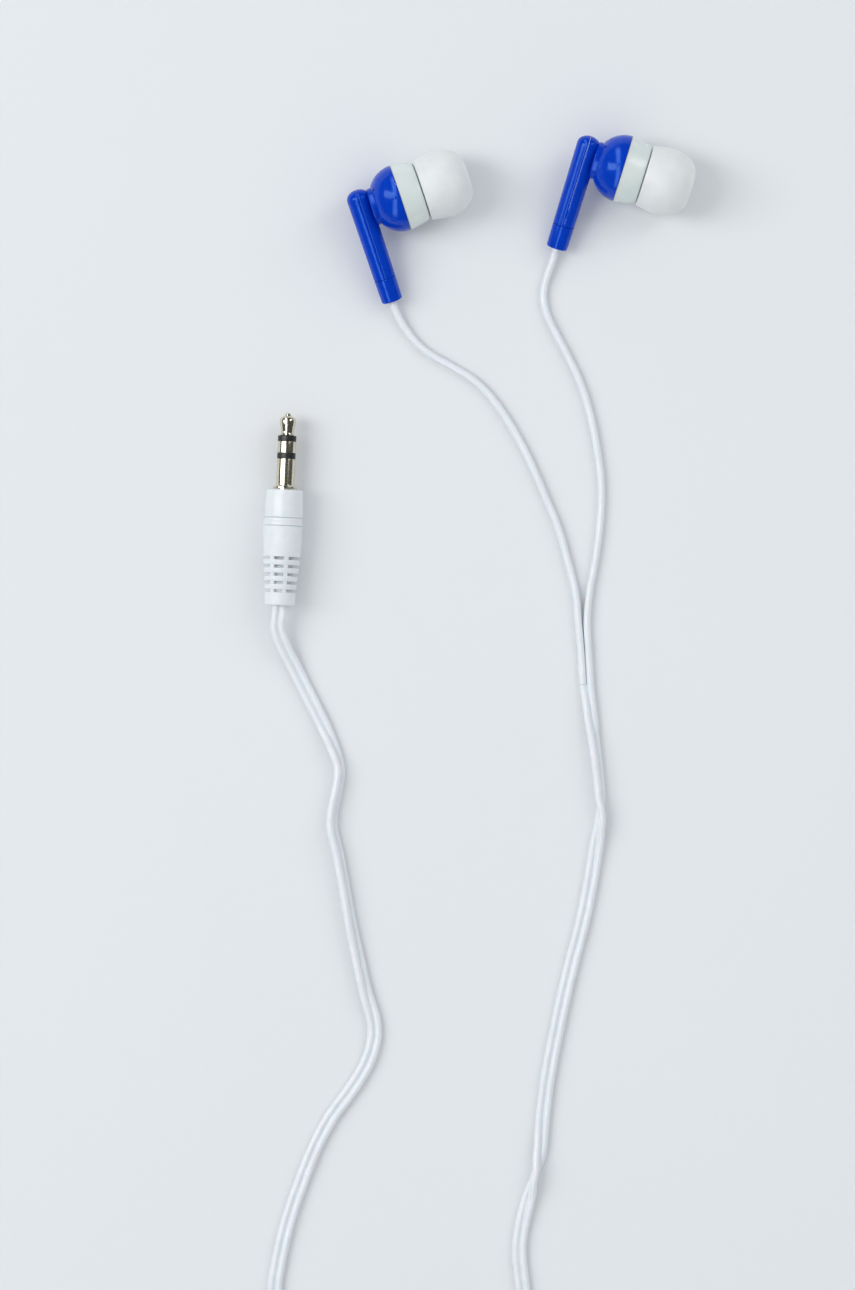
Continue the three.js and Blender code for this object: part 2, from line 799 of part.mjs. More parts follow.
// A crimped ferrule that grips the end of the twin cord inside the boot.
function plugFerrule() {
  const start = flangeBack + jack.tailLength + clearance.run;
  const inner = twinHalfWidth;
  const outer = inner + jack.tubeWall + clearance.nest;
  return revolve(ring(start, bootFront + boot.cavityLength - clearance.run, inner, outer), sides.jack);
}

const plugPieces = [
  ['jack_tip', jackTip, 'gold'],
  ['jack_insulator_front', jackInsulatorFront, 'black'],
  ['jack_ring', jackRing, 'gold'],
  ['jack_insulator_rear', jackInsulatorRear, 'black'],
  ['jack_sleeve', jackSleeve, 'gold'],
  ['plug_shell', plugShell, 'white'],
  ['plug_band', plugBand, 'white'],
  ['plug_boot', plugBoot, 'softWhite'],
  ['plug_ferrule', plugFerrule, 'steel'],
];

function plug() {
  const group = new THREE.Group();
  for (const [name, make, finish] of plugPieces) {
    group.add(piece(name, make().rotateY(radians(plugPlace.roll)), finish));
  }
  const lean = new THREE.Matrix4().makeRotationZ(radians(180 + plugPlace.lean));
  group.quaternion.setFromRotationMatrix(lean);
  group.position.set(plugPlace.x, plugPlace.y, restRadius);
  return group;
}

function twinLead() {
  const lean = radians(plugPlace.lean);
  return [clearance.cord, twinHalfWidth].map((reach) => {
    const along = plugEnd + reach;
    const x = plugPlace.x + along * Math.sin(lean);
    const y = plugPlace.y - along * Math.cos(lean);
    return new THREE.Vector3(x, y, restRadius);
  });
}

// ---------------------------------------------------------------- cord

function onTable(route) {
  return route.map(([x, y, height = cordHeight]) => new THREE.Vector3(x, y, height));
}

function branch(place, route) {
  const section = polygonSection(strandRadius, strandRadius);
  return sweep(section, [...strandLead(place), ...onTable(route)], steps.branch);
}

function twin(points, stepCount) {
  return sweep(polygonSection(strandRadius, twinHalfWidth), points, stepCount);
}

const coilHalfWidth = (coil.columns * (2 * twinHalfWidth + coil.turnGap)) / 2;
const coilHeight = coil.layers * (2 * strandRadius + coil.turnGap) + 2 * tableLift;

function cordCoil() {
  const inner = coil.midRadius - coilHalfWidth;
  const outer = coil.midRadius + coilHalfWidth;
  const outline = [
    [0, inner + coil.edge],
    [0, outer - coil.edge],
    [coil.edge, outer],
    [coilHeight - coil.edge, outer],
    [coilHeight, outer - coil.edge],
    [coilHeight, inner + coil.edge],
    [coilHeight - coil.edge, inner],
    [coil.edge, inner],
  ];
  const ringSolid = revolve(outline, coil.sides).rotateX(Math.PI / 2);
  const notchHeight = tie.thickness + clearance.run;
  const notchWidth = tie.width + 2 * clearance.run;
  const notch = box(notchWidth, 4 * coilHalfWidth, 2 * notchHeight, 0, -coil.midRadius, 0);
  return cut(ringSolid, notch);
}

function roundedLoop(halfWidth, height, corner) {
  const shape = new THREE.Shape();
  shape.moveTo(halfWidth, corner);
  shape.absarc(halfWidth - corner, height - corner, corner, 0, Math.PI / 2);
  shape.absarc(corner - halfWidth, height - corner, corner, Math.PI / 2, Math.PI);
  shape.absarc(corner - halfWidth, corner, corner, Math.PI, 1.5 * Math.PI);
  shape.absarc(halfWidth - corner, corner, corner, 1.5 * Math.PI, 2 * Math.PI);
  return shape;
}

function coilTie() {
  const innerHalf = coilHalfWidth + clearance.run;
  const innerHeight = coilHeight - tie.thickness + clearance.run;
  const outerHalf = innerHalf + tie.thickness;
  const strap = roundedLoop(outerHalf, innerHeight + 2 * tie.thickness, tie.corner);
  const hollow = roundedLoop(innerHalf, innerHeight, tie.corner - tie.thickness);
  const holePoints = hollow.getPoints(sides.cap).map((point) => point.setY(point.y + tie.thickness));
  strap.holes.push(new THREE.Path(holePoints));
  const options = { depth: tie.width, bevelEnabled: false, curveSegments: sides.cap };
  const loop = new THREE.ExtrudeGeometry(strap, options);
  const upright = loop.translate(0, 0, -tie.width / 2).rotateX(Math.PI / 2).rotateZ(Math.PI / 2);
  return upright.translate(0, -coil.midRadius, 0);
}

function coilGroup() {
  const group = new THREE.Group();
  group.add(piece('cord_coil', cordCoil(), 'cord'));
  group.add(piece('coil_tie', coilTie(), 'foam'));
  group.position.set(coil.x, coil.y, 0);
  group.rotation.z = radians(tie.turn);
  return group;
}

// ---------------------------------------------------------------- assembly

const [leftPlace, rightPlace] = earbuds;
const earphones = new THREE.Group();
earphones.add(...earbuds.map(earbud), plug(), coilGroup());
earphones.add(piece('cord_left', branch(leftPlace, leftRoute), 'cord'));
earphones.add(piece('cord_right', branch(rightPlace, rightRoute), 'cord'));
earphones.add(piece('cord_twin_upper', twin(onTable(upperRoute), steps.upper), 'cord'));
const lowerPoints = [...twinLead(), ...onTable(lowerRoute)];
earphones.add(piece('cord_twin_lower', twin(lowerPoints, steps.lower), 'cord'));

earphones.position.set(-footprint.x, -footprint.y, 0);

export default earphones;
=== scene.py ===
"""Wired earphones lying on a pale table, seen from above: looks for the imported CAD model."""

import json
import math

import bmesh
import bpy
import numpy as np
from mathutils import Matrix, Vector


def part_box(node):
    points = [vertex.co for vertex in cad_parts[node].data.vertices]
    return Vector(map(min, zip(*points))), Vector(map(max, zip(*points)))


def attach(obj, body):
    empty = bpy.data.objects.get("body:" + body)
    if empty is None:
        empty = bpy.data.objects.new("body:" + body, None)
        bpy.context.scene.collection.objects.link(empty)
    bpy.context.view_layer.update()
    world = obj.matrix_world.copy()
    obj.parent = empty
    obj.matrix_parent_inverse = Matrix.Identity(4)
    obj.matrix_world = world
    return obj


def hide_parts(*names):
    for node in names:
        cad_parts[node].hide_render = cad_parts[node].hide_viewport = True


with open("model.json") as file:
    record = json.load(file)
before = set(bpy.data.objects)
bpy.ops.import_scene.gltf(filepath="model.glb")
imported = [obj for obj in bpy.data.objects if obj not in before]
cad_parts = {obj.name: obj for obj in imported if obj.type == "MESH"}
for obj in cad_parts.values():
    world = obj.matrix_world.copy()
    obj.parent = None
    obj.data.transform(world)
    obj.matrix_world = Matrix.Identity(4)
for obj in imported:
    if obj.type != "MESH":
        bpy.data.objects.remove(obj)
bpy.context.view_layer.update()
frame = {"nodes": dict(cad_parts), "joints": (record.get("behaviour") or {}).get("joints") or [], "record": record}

MM = 0.001
ROOT = "earphones"
SIDES = ("left", "right")
UP = Vector((0, 0, 1))

# ------------------------------------------------------------------ sizes, in millimetres

DOME = {"rim": 6.4, "axial": 5.85, "depth": 4.6, "wall": 1.0, "edge": 0.12}
NECK = {"radius": 3.6, "overlap": 0.5}
STEM = {"axis": 7.5, "top_radius": 2.25, "bottom_radius": 2.08, "top": 4.1, "round": 1.9, "halves": 13.6}
STEM.update(bore=1.35, seam=0.05)
COLLAR = {"length": 4.4, "end_radius": 2.0, "round": 0.32, "bore": 0.95, "gap": 0.2}
FRONT = {"depth": 4.3, "end_radius": 5.7, "edge": 0.5, "lip": 0.8}
NOZZLE = {"radius": 2.6, "length": 6.2, "bore": 1.8, "barb": 0.15}
TIP = {"start": 4.6, "length": 9.0, "radius": 6.4, "skirt": 5.8, "front": 2.3, "bore": 2.0, "wall": 0.7}
TIP.update(sleeve_in=2.9, sleeve_out=3.7, gap=0.22)
JACK = {"radius": 1.75, "shoulder": 14.0, "flange": 2.3, "flange_end": 14.4}
PLUG_SIZES = {"shell": 14.55, "band": 20.05, "boot": 21.45, "relief": 26.55, "rings": 35.45, "end": 36.55}

STRAND = 0.7
LIFT = 0.05
TABLE_HEIGHT = STRAND + LIFT
TURN_PITCH = 2 * STRAND + LIFT
COIL = {"x": -23.55, "y": -228.25, "radius": 15.5, "half_column": 1.45, "tie_angle": 300.0}

# Centre of the earbuds' footprint in the layout that the routes are given in.
FOOTPRINT = Vector((0.55, -0.75, 0))

# Routes on the table, as in the CAD: x, y and, where the cord is still above it, the height.
LEFT_ROUTE = [
    (-21.2, -22.1), (-18.0, -25.4), (-12.9, -28.4), (-8.1, -31.5), (-4.2, -35.9), (-0.7, -41.4),
    (2.3, -47.3), (5.0, -53.6), (7.5, -59.7), (9.2, -65.9), (10.6, -71.4), (11.1, -77.0),
    (11.6, -82.5), (12.0, -88.9),
]
RIGHT_ROUTE = [
    (4.5, -13.9), (4.7, -17.2), (5.9, -20.3), (8.7, -25.7), (11.4, -31.3), (13.4, -37.7),
    (14.7, -44.3), (15.5, -51.0), (15.3, -57.6), (14.5, -64.3), (13.3, -71.0), (12.75, -77.0),
    (13.05, -82.5), (13.4, -88.9),
]
UPPER_ROUTE = [
    (12.7, -88.9), (13.8, -97.6), (14.8, -105.2), (15.3, -111.0), (15.3, -114.4), (14.7, -118.6),
    (13.5, -126.2), (12.0, -133.8), (10.0, -141.4), (8.2, -149.0), (6.6, -156.7), (5.2, -164.3),
    (4.3, -171.9), (3.7, -178.6), (2.0, -185.2), (0.4, -191.9), (-0.2, -196.7), (0.5, -203.3),
    (0.8, -208.0), (-0.6, -215.0), (-3.4, -221.5), (-5.5, -226.0),
]
LOWER_ROUTE = [
    (-46.1, -78.0, 3.1), (-44.8, -81.8, 2.0), (-43.1, -85.2, 1.1), (-41.5, -88.5), (-38.2, -95.0),
    (-35.7, -100.5), (-34.3, -104.9), (-34.7, -108.7), (-35.5, -112.2), (-35.8, -115.9),
    (-34.7, -120.6), (-33.5, -127.0), (-32.3, -133.8), (-30.7, -141.4), (-29.2, -148.1),
    (-27.8, -152.9), (-27.7, -156.3), (-28.9, -160.5), (-31.9, -165.7), (-36.0, -171.3),
    (-39.0, -177.0), (-41.5, -183.3), (-43.8, -189.9), (-45.5, -196.7), (-46.7, -204.3),
    (-46.2, -208.0, 0.8), (-44.6, -212.5, 1.4), (-42.7, -217.0, 2.8), (-41.2, -221.0, 4.3),
    (-40.2, -225.0, 5.0),
]

# How far the twin cord has rolled about its own line: distance in mm from the split, degrees.
UPPER_ROLL = [(0, 0), (6, 25), (12, 52), (21, 60), (26, 120), (31, 168), (36, 180), (84, 180), (90, 205)]
UPPER_ROLL += [(95, 275), (100, 345), (106, 360), (400, 360)]
# The same, measured from the plug.
LOWER_ROLL = [(0, 0), (26, 8), (31, 40), (36, 62), (60, 58), (76, 40), (86, 8), (94, 0), (400, 0)]

# ------------------------------------------------------------------ frames worked out from the CAD


def joint_axis(name):
    return Vector(next(j["axis"] for j in frame["joints"] if j["name"] == name)).normalized()


def middle(node):
    low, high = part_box(node)
    return (low + high) / 2


def stem_lean(height):
    length = STEM["halves"] + COLLAR["gap"] + COLLAR["length"]
    radius = COLLAR["end_radius"]
    return math.asin(height / math.hypot(length, radius)) - math.atan2(radius, length)


def earbud_matrix(side):
    """From earbud millimetres, nozzle along +X from the rim plane and stem along -Y, to metres."""
    nozzle = joint_axis(f"{side}_tip_pull")
    tip_middle = middle(f"{side}_ear_tip")
    centre = tip_middle - nozzle * (TIP["start"] + TIP["length"] / 2) * MM
    turn = math.atan2(nozzle.y, nozzle.x)
    lean = stem_lean(tip_middle.z / MM)
    rotation = Matrix.Rotation(turn, 4, "Z") @ Matrix.Rotation(lean, 4, "X")
    return Matrix.Translation(centre) @ rotation @ Matrix.Scale(MM, 4)


def plug_matrix():
    """From plug millimetres, +X running back from the nose along the axis, to metres."""
    mount = next(m for m in frame["record"]["mounts"] if m["name"] == "plug_shoulder")
    forward = Vector(mount["axis"]).normalized()
    height = middle("jack_sleeve").z
    nose = Vector((mount["pos_m"][0], mount["pos_m"][1], height)) + forward * JACK["shoulder"] * MM
    side = UP.cross(-forward)
    rotation = Matrix((-forward, side, UP)).transposed().to_4x4()
    return Matrix.Translation(nose) @ rotation @ Matrix.Scale(MM, 4)


EARBUD = {side: earbud_matrix(side) for side in SIDES}
PLUG = plug_matrix()

# ------------------------------------------------------------------ mesh helpers


def make_object(name, mesh, material=None):
    obj = bpy.data.objects.new(name, mesh)
    bpy.context.scene.collection.objects.link(obj)
    if material:
        obj.data.materials.append(material)
    return obj


def smooth(obj, degrees=32):
    obj.data.shade_smooth()
    obj.data.set_sharp_from_angle(angle=math.radians(degrees))
    return obj


def mesh_from(name, verts, faces, material=None, degrees=32):
    mesh = bpy.data.meshes.new(name)
    mesh.from_pydata([tuple(v) for v in verts], [], faces)
    work = bmesh.new()
    work.from_mesh(mesh)
    bmesh.ops.remove_doubles(work, verts=work.verts, dist=1e-8)
    bmesh.ops.recalc_face_normals(work, faces=work.faces)
    work.to_mesh(mesh)
    work.free()
    return smooth(make_object(name, mesh, material), degrees)


def rounded(outline, closed=True, steps=4):
    """Rounds the corners of an outline of (x, r) or (x, r, rounding)."""
    count = len(outline)
    result = []
    for i, corner in enumerate(outline):
        rounding = corner[2] if len(corner) > 2 else 0
        here = Vector(corner[:2])
        if not rounding or (not closed and i in (0, count - 1)):
            result.append(tuple(here))
            continue
        before = Vector(outline[i - 1][:2])
        after = Vector(outline[(i + 1) % count][:2])
        back, ahead = before - here, after - here
        reach = min(rounding, 0.45 * back.length, 0.45 * ahead.length)
        start, end = here + back.normalized() * reach, here + ahead.normalized() * reach
        for k in range(steps + 1):
            t = k / steps
            result.append(tuple((1 - t) ** 2 * start + 2 * t * (1 - t) * here + t * t * end))
    return result


def turned(name, outline, matrix, material=None, segments=96, degrees=32, shape=None):
    """A solid of revolution about local X. The outline closes on itself, or on the axis."""
    rings = []
    verts = []
    for x, r in outline:
        if r < 1e-6:
            rings.append([len(verts)])
            verts.append(Vector((x, 0, 0)))
            continue
        rings.append(list(range(len(verts), len(verts) + segments)))
        for k in range(segments):
            angle = 2 * math.pi * k / segments
            radius = shape(x, r, angle) if shape else r
            verts.append(Vector((x, radius * math.cos(angle), radius * math.sin(angle))))
    faces = []
    on_axis = len(rings[0]) == 1 and len(rings[-1]) == 1
    pairs = list(zip(rings, rings[1:])) + ([] if on_axis else [(rings[-1], rings[0])])
    for a, b in pairs:
        for k in range(segments):
            n = (k + 1) % segments
            if len(a) == 1 and len(b) == 1:
                continue
            if len(a) == 1:
                faces.append((a[0], b[n], b[k]))
            elif len(b) == 1:
                faces.append((a[k], a[n], b[0]))
            else:
                faces.append((a[k], a[n], b[n], b[k]))
    return mesh_from(name, [matrix @ v for v in verts], faces, material, degrees)


def swept(name, centres, sections, material=None, degrees=40):
    """Joins ready-placed section rings along a line, with a cap at each end."""
    size = len(sections[0])
    verts = [v for ring in sections for v in ring]
    faces = []
    for i in range(len(centres) - 1):
        for k in range(size):
            n = (k + 1) % size
            faces.append((i * size + k, i * size + n, (i + 1) * size + n, (i + 1) * size + k))
    last = (len(centres) - 1) * size
    faces.append(tuple(range(size)))
    faces.append(tuple(range(last, last + size)))
    return mesh_from(name, verts, faces, material, degrees)


# ------------------------------------------------------------------ camera, first of all

VIEW_MIDDLE = (Vector((-17.6, -81.4, 0)) - FOOTPRINT) * MM
VIEW_HEIGHT = 245.7 * MM
CAMERA_DISTANCE = 0.9
SENSOR = 36.0


def make_camera():
    data = bpy.data.cameras.new("camera")
    data.sensor_width = SENSOR
    data.lens = SENSOR * CAMERA_DISTANCE / VIEW_HEIGHT
    data.clip_start, data.clip_end = 0.01, 20
    camera = bpy.data.objects.new("camera", data)
    camera.location = VIEW_MIDDLE + UP * CAMERA_DISTANCE
    bpy.context.scene.collection.objects.link(camera)
    bpy.context.scene.camera = camera


make_camera()

# ------------------------------------------------------------------ materials


def principled(name, color, roughness, metallic=0.0, **sockets):
    material = bpy.data.materials.new(name)
    material.use_nodes = True
    tree = material.node_tree
    shader = tree.nodes["Principled BSDF"]
    shader.inputs["Base Color"].default_value = (*color, 1)
    shader.inputs["Roughness"].default_value = roughness
    shader.inputs["Metallic"].default_value = metallic
    for socket, value in sockets.items():
        shader.inputs[socket.replace("_", " ")].default_value = value
    return material, tree, shader


def add(tree, kind, **values):
    node = tree.nodes.new(kind)
    for key, value in values.items():
        if key in node.inputs:
            node.inputs[key].default_value = value
        else:
            setattr(node, key, value)
    return node


def noise(tree, scale, detail=3.0, stretch=(1, 1, 1)):
    place = add(tree, "ShaderNodeTexCoord")
    mapping = add(tree, "ShaderNodeMapping")
    mapping.inputs["Scale"].default_value = stretch
    texture = add(tree, "ShaderNodeTexNoise", Scale=scale, Detail=detail)
    tree.links.new(place.outputs["Object"], mapping.inputs["Vector"])
    tree.links.new(mapping.outputs["Vector"], texture.inputs["Vector"])
    return texture.outputs["Fac"]


def ramp(tree, factor, stops):
    node = add(tree, "ShaderNodeValToRGB")
    elements = node.color_ramp.elements
    while len(elements) < len(stops):
        elements.new(0.5)
    for element, (position, color) in zip(elements, stops):
        element.position = position
        element.color = (*color, 1)
    tree.links.new(factor, node.inputs["Fac"])
    return node.outputs["Color"]


def vary_color(tree, shader, color, scale, amount, tint=None):
    low = tuple(c * (1 - amount) for c in color)
    high = tint or tuple(min(1.0, c * (1 + amount)) for c in color)
    fac = noise(tree, scale)
    tree.links.new(ramp(tree, fac, [(0.3, low), (0.7, high)]), shader.inputs["Base Color"])


def vary_roughness(tree, shader, scale, low, high):
    fac = noise(tree, scale)
    spread = add(tree, "ShaderNodeMapRange")
    spread.inputs["To Min"].default_value = low
    spread.inputs["To Max"].default_value = high
    tree.links.new(fac, spread.inputs["Value"])
    tree.links.new(spread.outputs["Result"], shader.inputs["Roughness"])


def bump(tree, shader, scale, distance, strength=1.0, stretch=(1, 1, 1)):
    node = add(tree, "ShaderNodeBump")
    node.inputs["Strength"].default_value = strength
    node.inputs["Distance"].default_value = distance
    tree.links.new(noise(tree, scale, stretch=stretch), node.inputs["Height"])
    tree.links.new(node.outputs["Normal"], shader.inputs["Normal"])


BLUE = (0.0005, 0.040, 0.47)
PEARL = (0.66, 0.755, 0.74)
SILICONE = (0.76, 0.78, 0.775)
WHITE = (0.73, 0.765, 0.79)
CORD = (0.745, 0.785, 0.82)
GOLD = (0.70, 0.655, 0.52)


def blue_plastic():
    tint = (0.3, 0.6, 1.0, 1)
    material, tree, shader = principled("blue_plastic", BLUE, 0.16, IOR=1.46, Specular_Tint=tint)
    vary_color(tree, shader, BLUE, 900, 0.08)
    vary_roughness(tree, shader, 1400, 0.12, 0.2)
    bump(tree, shader, 2600, 0.000004)
    return material


def pearl_plastic():
    material, tree, shader = principled("pearl_plastic", PEARL, 0.22, IOR=1.49, Coat_Weight=0.4,
                                        Coat_Roughness=0.1, Subsurface_Weight=0.35, Subsurface_Scale=0.002)
    shader.inputs["Subsurface Radius"].default_value = (0.8, 1.0, 0.95)
    vary_color(tree, shader, PEARL, 260, 0.02, tint=(0.71, 0.775, 0.745))
    vary_roughness(tree, shader, 900, 0.18, 0.3)
    bump(tree, shader, 3000, 0.000003)
    return material


def silicone():
    material, tree, shader = principled("silicone", SILICONE, 0.42, Subsurface_Weight=0.5,
                                        Subsurface_Scale=0.002, Sheen_Weight=0.15, Sheen_Roughness=0.5)
    shader.inputs["Subsurface Radius"].default_value = (1.0, 0.95, 0.85)
    vary_color(tree, shader, SILICONE, 420, 0.025)
    vary_roughness(tree, shader, 1200, 0.36, 0.5)
    bump(tree, shader, 5200, 0.000006)
    return material


def white_plastic(name, color, low, high, grain):
    material, tree, shader = principled(name, color, low, Subsurface_Weight=0.15, Subsurface_Scale=0.001)
    vary_color(tree, shader, color, 700, 0.02)
    vary_roughness(tree, shader, 1500, low, high)
    bump(tree, shader, 6000, grain)
    return material


def cord_skin():
    material, tree, shader = principled("cord_skin", CORD, 0.4, Subsurface_Weight=0.25,
                                        Subsurface_Scale=0.001, Coat_Weight=0.1, Coat_Roughness=0.3)
    vary_color(tree, shader, CORD, 380, 0.025)
    vary_roughness(tree, shader, 1100, 0.34, 0.5)
    bump(tree, shader, 3200, 0.00001)
    return material


def metal(name, color, low, high, stretch=(1, 1, 1)):
    material, tree, shader = principled(name, color, low, metallic=1.0)
    vary_color(tree, shader, color, 1500, 0.06)
    vary_roughness(tree, shader, 2200, low, high)
    bump(tree, shader, 2400, 0.000004, stretch=stretch)
    return material


def plain(name, color, low, high, scale, grain):
    material, tree, shader = principled(name, color, low)
    vary_color(tree, shader, color, scale, 0.12)
    vary_roughness(tree, shader, 2 * scale, low, high)
    bump(tree, shader, 3 * scale, grain)
    return material


FINISH = {
    "blue_plastic": blue_plastic(),
    "pearl_plastic": pearl_plastic(),
    "silicone": silicone(),
    "white_plastic": white_plastic("white_plastic", WHITE, 0.3, 0.42, 0.000004),
    "soft_white": white_plastic("soft_white", WHITE, 0.45, 0.6, 0.00001),
    "cord_skin": cord_skin(),
    "jack_metal": metal("jack_metal", GOLD, 0.12, 0.24, stretch=(0.1, 3, 3)),
    "black_plastic": plain("black_plastic", (0.012, 0.012, 0.013), 0.35, 0.5, 900, 0.000005),
    "steel": metal("steel", (0.52, 0.53, 0.55), 0.25, 0.4),
    "magnet": metal("magnet", (0.3, 0.31, 0.33), 0.2, 0.35),
    "copper": metal("copper", (0.62, 0.28, 0.12), 0.3, 0.45, stretch=(6, 1, 1)),
    "film": plain("film", (0.55, 0.48, 0.3), 0.2, 0.3, 500, 0.000003),
    "foam": plain("foam", (0.02, 0.02, 0.022), 0.8, 0.95, 2600, 0.00008),
    "board": plain("board", (0.02, 0.12, 0.05), 0.4, 0.55, 1200, 0.00001),
    "tie": white_plastic("tie", (0.7, 0.71, 0.72), 0.4, 0.55, 0.00002),
}


def finish_cad_nodes():
    slots = {s["node"]: s["material_slot"] for s in frame["record"]["subparts"]}
    for name, node in frame["nodes"].items():
        node.data.materials.clear()
        node.data.materials.append(FINISH[slots[name]])


finish_cad_nodes()


def dress(obj, slot_name, *nodes, body=ROOT):
    """Puts a piece on its body in place of the CAD nodes that it stands for."""
    if not obj.data.materials:
        obj.data.materials.append(FINISH[slot_name])
    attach(obj, body)
    if nodes:
        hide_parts(*nodes)
    return obj


# ------------------------------------------------------------------ cords


def centripetal(points, step):
    """A centripetal Catmull-Rom line through the points, sampled about every step."""
    ends = [2 * points[0] - points[1], *points, 2 * points[-1] - points[-2]]
    result = []
    for p0, p1, p2, p3 in zip(ends, ends[1:], ends[2:], ends[3:]):
        t0, t1 = 0.0, math.sqrt((p1 - p0).length)
        t2 = t1 + math.sqrt((p2 - p1).length)
        t3 = t2 + math.sqrt((p3 - p2).length)
        count = max(1, round((p2 - p1).length / step))
        for k in range(count):
            t = t1 + (t2 - t1) * k / count
            a1 = p0 * ((t1 - t) / (t1 - t0)) + p1 * ((t - t0) / (t1 - t0))
            a2 = p1 * ((t2 - t) / (t2 - t1)) + p2 * ((t - t1) / (t2 - t1))
            a3 = p2 * ((t3 - t) / (t3 - t2)) + p3 * ((t - t2) / (t3 - t2))
            b1 = a1 * ((t2 - t) / (t2 - t0)) + a2 * ((t - t0) / (t2 - t0))
            b2 = a2 * ((t3 - t) / (t3 - t1)) + a3 * ((t - t1) / (t3 - t1))
            result.append(b1 * ((t2 - t) / (t2 - t1)) + b2 * ((t - t1) / (t2 - t1)))
    return [*result, points[-1]]


def relaxed(points, rounds):
    """Evens a sampled line out, ends kept."""
    line = [p.copy() for p in points]
    for _ in range(rounds):
        line = [line[0], *[(a + 2 * b + c) / 4 for a, b, c in zip(line, line[1:], line[2:])], line[-1]]
    return line


def on_table(route, height=TABLE_HEIGHT):
    return [Vector((p[0], p[1], p[2] if len(p) > 2 else height)) - FOOTPRINT for p in route]


def lengths(points):
    total = [0.0]
    for a, b in zip(points, points[1:]):
        total.append(total[-1] + (b - a).length)
    return total


def directions(points):
    ahead = [points[1] - points[0], *[c - a for a, c in zip(points, points[2:])], points[-1] - points[-2]]
    return [d.normalized() for d in ahead]


def round_sections(points, radius, sides=16):
    rings = []
    for centre, way in zip(points, directions(points)):
        side = way.cross(UP).normalized()
        rise = side.cross(way)
        angles = [2 * math.pi * k / sides for k in range(sides)]
        rings.append([(centre + (side * math.cos(a) + rise * math.sin(a)) * radius) * MM for a in angles])
    return rings


def figure_eight(radius, points_each=11, web=150):
    """The outline of two strands side by side, joined by a web."""
    outline = []
    for centre, start in ((radius, -web), (-radius, 180 - web)):
        for k in range(points_each):
            angle = math.radians(start + 2 * web * k / (points_each - 1))
            outline.append((centre + radius * math.cos(angle), radius * math.sin(angle)))
    return outline


def twin_sections(points, rolls):
    outline = figure_eight(STRAND)
    rings = []
    for centre, way, roll in zip(points, directions(points), rolls):
        side = way.cross(UP).normalized()
        rise = side.cross(way)
        across = side * math.cos(roll) + rise * math.sin(roll)
        through = rise * math.cos(roll) - side * math.sin(roll)
        rings.append([(centre + across * x + through * y) * MM for x, y in outline])
    return rings


def eased(table, at):
    """A smooth value between the (place, value) pairs of a table."""
    for (a, low), (b, high) in zip(table, table[1:]):
        if at <= b:
            t = min(1.0, max(0.0, (at - a) / (b - a)))
            return low + (high - low) * t * t * (3 - 2 * t)
    return table[-1][1]


def branch_route(side, route):
    stem_end = -(STEM["halves"] + COLLAR["gap"] + COLLAR["length"])
    inside = 1.5
    reaches = (-inside, 0, 3 * STRAND)
    leads = [(EARBUD[side] @ Vector((-STEM["axis"], stem_end - reach, 0))) / MM for reach in reaches]
    line = centripetal([*leads, *on_table(route)], 0.5)
    return relaxed(line, 6)


def make_branch(side, route):
    centres = branch_route(side, route)
    cord = swept(f"cord_branch_{side}", centres, round_sections(centres, STRAND))
    dress(cord, "cord_skin", f"cord_{side}")
    return cord


# The coil's turns: which column (0 inner, 1 outer) and layer each lies in, as it is wound.
TURN_SLOTS = [(1, 0), (0, 0), (0, 1), (1, 1), (1, 2), (0, 2), (0, 3), (1, 3)]
STEP_ANGLE = 36
COIL_END = 360 * 7 + 180


def coil_place(angle):
    """Column and layer of the winding at an angle; it steps to the next slot under the tie."""
    last = len(TURN_SLOTS) - 1
    passed = min(max(0, round((angle - COIL["tie_angle"]) / 360)), last)
    before, after = TURN_SLOTS[passed], TURN_SLOTS[min(passed + 1, last)]
    t = min(1.0, max(0.0, (angle - COIL["tie_angle"] - 360 * passed) / STEP_ANGLE + 0.5))
    t = t * t * (3 - 2 * t)
    return before[0] + (after[0] - before[0]) * t, before[1] + (after[1] - before[1]) * t


def coil_route():
    points = []
    step = 5
    for k in range(COIL_END // step + 1):
        angle = k * step
        column, layer = coil_place(angle)
        radius = COIL["radius"] + (2 * column - 1) * COIL["half_column"]
        from_tie = (angle - COIL["tie_angle"] + 180) % 360 - 180
        raised = 0.5 * math.exp(-(from_tie / 14) ** 2) * (1 - 0.15 * layer)
        height = TABLE_HEIGHT + layer * TURN_PITCH + raised
        way = -math.radians(angle)
        x = COIL["x"] + radius * math.cos(way)
        y = COIL["y"] + radius * math.sin(way)
        points.append(Vector((x, y, height)))
    return points


def boot_exit():
    end = (PLUG @ Vector((PLUG_SIZES["end"] - 2.0, 0, 0))) / MM
    clear = (PLUG @ Vector((PLUG_SIZES["end"] + 1.7, 0, 0))) / MM
    return [clear, end]


